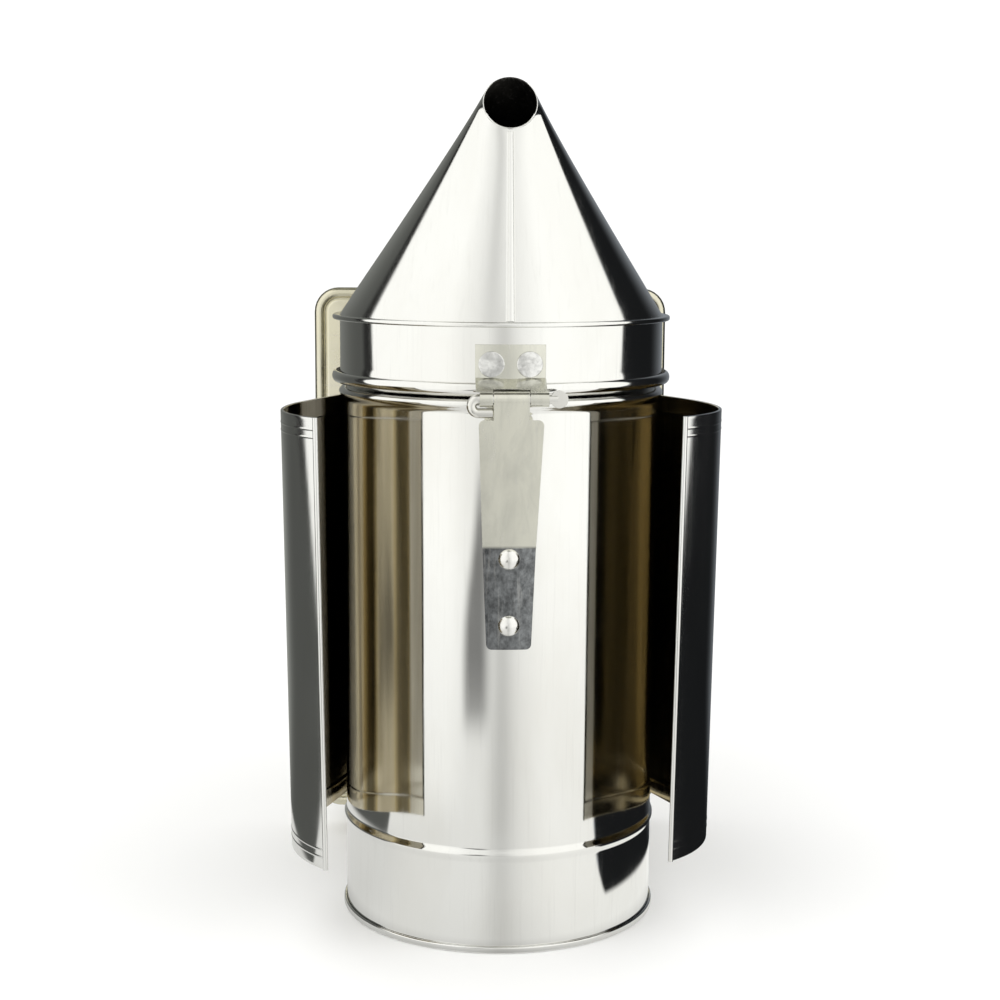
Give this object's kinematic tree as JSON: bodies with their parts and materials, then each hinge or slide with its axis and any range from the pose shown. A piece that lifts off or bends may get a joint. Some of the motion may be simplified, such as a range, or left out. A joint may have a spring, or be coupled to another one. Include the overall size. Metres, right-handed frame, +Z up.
{
  "type": "bee smoker",
  "caption": "Hand bee smoker: sheet-steel fire barrel with a hinged cone lid, wrap-round heat shield and spring-loaded leather bellows that blow smoke out of the mouth.",
  "frame": {"origin": "centre of the barrel's foot, on the surface that the smoker stands on", "axes": "+Z up the barrel's axis, -Y towards the lid's hinge and the smoke mouth, +Y towards the bellows"},
  "size_m": [0.1348, 0.2082, 0.2644],
  "materials": {
    "polished_steel": "mirror polished stainless sheet",
    "hinge_steel": "satin sheet",
    "wire": "drawn wire",
    "rivet_steel": "pressed, bright",
    "shield_steel": "bright outside",
    "plain_steel": "mill finish",
    "zinc_fasteners": "zinc plated",
    "tray_steel": "bright pressed sheet",
    "board_wood": "birch plywood",
    "leather": "oiled, creased",
    "spring_steel": "drawn wire"
  },
  "bodies": {
    "barrel": {"barrel_shell": "polished_steel", "base_plate": "polished_steel", "air_inlet_tube": "plain_steel", "hinge_strap": "hinge_steel", "hinge_pin": "wire", "strap_rivets": "rivet_steel", "heat_shield": "shield_steel", "shield_spacers": "rivet_steel", "bracket_rivets": "rivet_steel", "upper_bracket": "plain_steel", "lower_bracket": "plain_steel", "bracket_bolts": "zinc_fasteners", "bracket_nuts": "zinc_fasteners", "bellows_front_tray": "tray_steel", "bellows_front_board": "board_wood", "front_tray_tacks": "zinc_fasteners", "bellows_leather": "leather", "bellows_spring": "spring_steel", "spring_seat_front": "plain_steel"},
    "lid": {"lid_collar": "polished_steel", "lid_cone": "polished_steel", "lid_edge_wire": "wire", "lid_hinge_leaf": "hinge_steel", "lid_leaf_rivets": "rivet_steel", "lid_lift_tab": "hinge_steel", "lift_tab_rivets": "rivet_steel"},
    "grate": {"grate_plate": "plain_steel", "grate_legs": "plain_steel"},
    "rear_board": {"bellows_rear_tray": "tray_steel", "bellows_rear_board": "board_wood", "rear_tray_tacks": "zinc_fasteners", "spring_seat_rear": "plain_steel", "valve_ring": "tray_steel", "valve_flap_strip": "leather", "valve_rivets": "zinc_fasteners"},
    "flap": {"valve_flap": "leather"}
  },
  "joints": [
    {"name": "lid_hinge", "type": "hinge", "parent": "barrel", "child": "lid", "pos_m": [0, -0.057, 0.1715], "axis": [1, 0, 0], "range_deg": [0, 115]},
    {"name": "grate_lift", "type": "slide", "parent": "barrel", "child": "grate", "axis": [0, 0, 1], "range_m": [0, 0.12]},
    {"name": "bellows_press", "type": "hinge", "parent": "barrel", "child": "rear_board", "pos_m": [0, 0.074, 0.012], "axis": [1, 0, 0], "range_deg": [0, 16], "stiffness_Nm_per_rad": 1.5, "springref_deg": -17.19, "deforming": ["bellows_leather", "bellows_spring"]},
    {"name": "flap_swing", "type": "hinge", "parent": "rear_board", "child": "flap", "pos_m": [0, 0.10387, 0.08413], "axis": [-1, 0, 0], "range_deg": [0, 12]}
  ]
}
